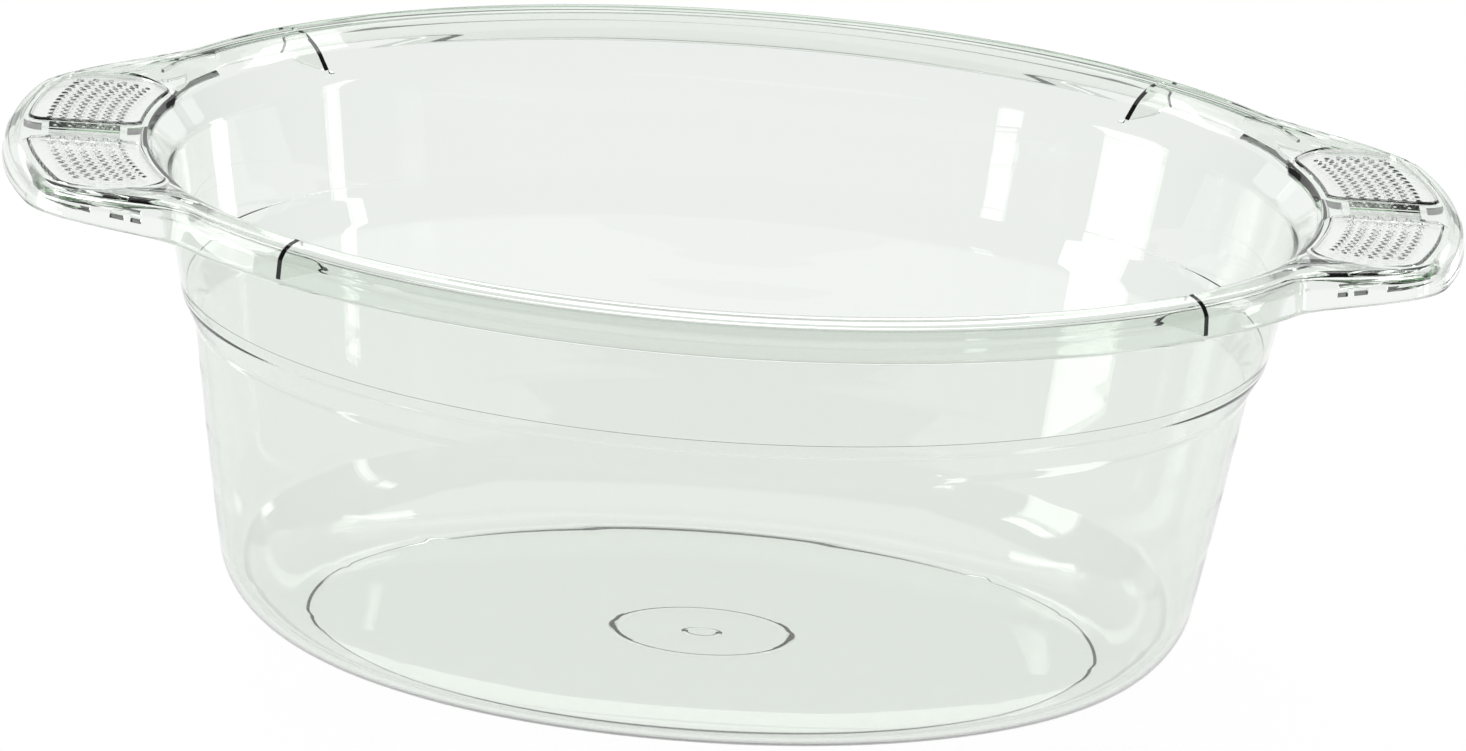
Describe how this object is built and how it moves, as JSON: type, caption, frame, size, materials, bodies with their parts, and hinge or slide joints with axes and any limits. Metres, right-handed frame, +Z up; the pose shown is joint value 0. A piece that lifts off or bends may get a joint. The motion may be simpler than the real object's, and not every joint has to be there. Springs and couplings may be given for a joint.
{
  "type": "baby bathtub",
  "caption": "Clear oval moulded baby bathtub with a stepped wall, a turned-down rim and a textured grip handle at each end.",
  "frame": {"origin": "under the middle of the base, on the surface the tub stands on", "axes": "+X runs along the tub from the left handle to the right one, +Y to the rear, +Z up"},
  "size_m": [0.5258, 0.3912, 0.1809],
  "materials": {
    "clear_plastic": "clear polypropylene-like plastic with a faint green tint, polished",
    "grip_plastic": "clear plastic, textured with fine raised dots"
  },
  "bodies": {
    "root": {"tub_shell": "clear_plastic", "grip_pad_left_rear": "grip_plastic", "grip_pad_left_front": "grip_plastic", "grip_pad_right_rear": "grip_plastic", "grip_pad_right_front": "grip_plastic"}
  },
  "joints": []
}
